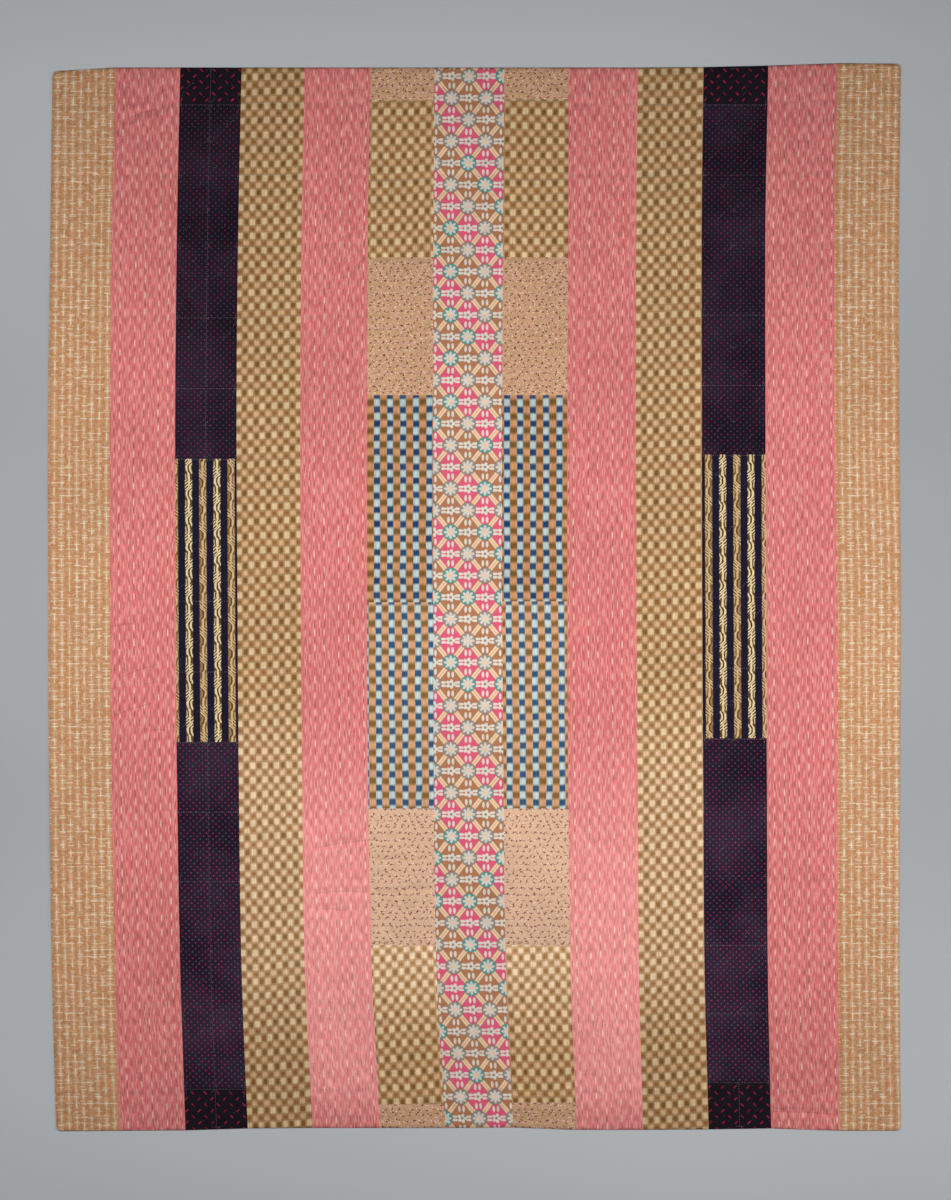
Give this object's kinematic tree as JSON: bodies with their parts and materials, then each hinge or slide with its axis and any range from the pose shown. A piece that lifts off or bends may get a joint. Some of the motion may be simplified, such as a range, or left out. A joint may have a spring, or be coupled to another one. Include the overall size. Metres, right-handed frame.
{
  "type": "strip quilt",
  "caption": "Hand-quilted cotton bed cover pieced from long lengthwise strips of plaid, slub, check, stripe and printed cloth, lying flat and face up.",
  "frame": {"origin": "middle of the underside, on the surface that the quilt lies on", "axes": "+X to the right across the strips, +Y up the strips to the head edge, +Z out of the pieced face"},
  "size_m": [1.8074, 2.2628, 0.0057],
  "materials": {
    "tan_plaid": "matt cotton, tan with a broken cream plaid",
    "pink_slub": "matt cotton, rose pink with short pale and dark dashes along the strip",
    "pin_dot": "matt cotton, near-black purple with tiny crimson and grey dots",
    "dash_print": "matt cotton, near-black with small crimson dashes",
    "scroll_stripe": "matt cotton, near-black with cream stripes that carry small brown scrolls",
    "brown_check": "matt cotton, small brown and cream check",
    "sprig_print": "matt cotton, tan with tiny scattered sprigs",
    "blue_check": "matt cotton, columns of blue and pale blue cells between columns of brown and tan cells",
    "pale_blue_check": "matt cotton, a paler length of the blue check",
    "star_print": "matt cotton, printed stars in pink, teal, peach and brown",
    "quilting_thread": "matt cotton thread, off-white"
  },
  "bodies": {
    "root": {"outer_tan_left": "tan_plaid", "outer_pink_left": "pink_slub", "dark_left_1_dash_print": "dash_print", "dark_left_2_pin_dot": "pin_dot", "dark_left_3_scroll_stripe": "scroll_stripe", "dark_left_4_pin_dot": "pin_dot", "dark_left_5_dash_print": "dash_print", "check_left": "brown_check", "inner_pink_left": "pink_slub", "pieced_left_1_sprig_print": "sprig_print", "pieced_left_2_brown_check": "brown_check", "pieced_left_3_sprig_print": "sprig_print", "pieced_left_4_blue_check": "blue_check", "pieced_left_5_pale_blue_check": "pale_blue_check", "pieced_left_6_sprig_print": "sprig_print", "pieced_left_7_brown_check": "brown_check", "pieced_left_8_sprig_print": "sprig_print", "centre": "star_print", "pieced_right_1_sprig_print": "sprig_print", "pieced_right_2_brown_check": "brown_check", "pieced_right_3_sprig_print": "sprig_print", "pieced_right_4_blue_check": "blue_check", "pieced_right_5_pale_blue_check": "pale_blue_check", "pieced_right_6_sprig_print": "sprig_print", "pieced_right_7_brown_check": "brown_check", "pieced_right_8_sprig_print": "sprig_print", "inner_pink_right": "pink_slub", "check_right": "brown_check", "dark_right_1_dash_print": "dash_print", "dark_right_2_pin_dot": "pin_dot", "dark_right_3_scroll_stripe": "scroll_stripe", "dark_right_4_pin_dot": "pin_dot", "dark_right_5_dash_print": "dash_print", "outer_pink_right": "pink_slub", "outer_tan_right": "tan_plaid"}
  },
  "joints": []
}
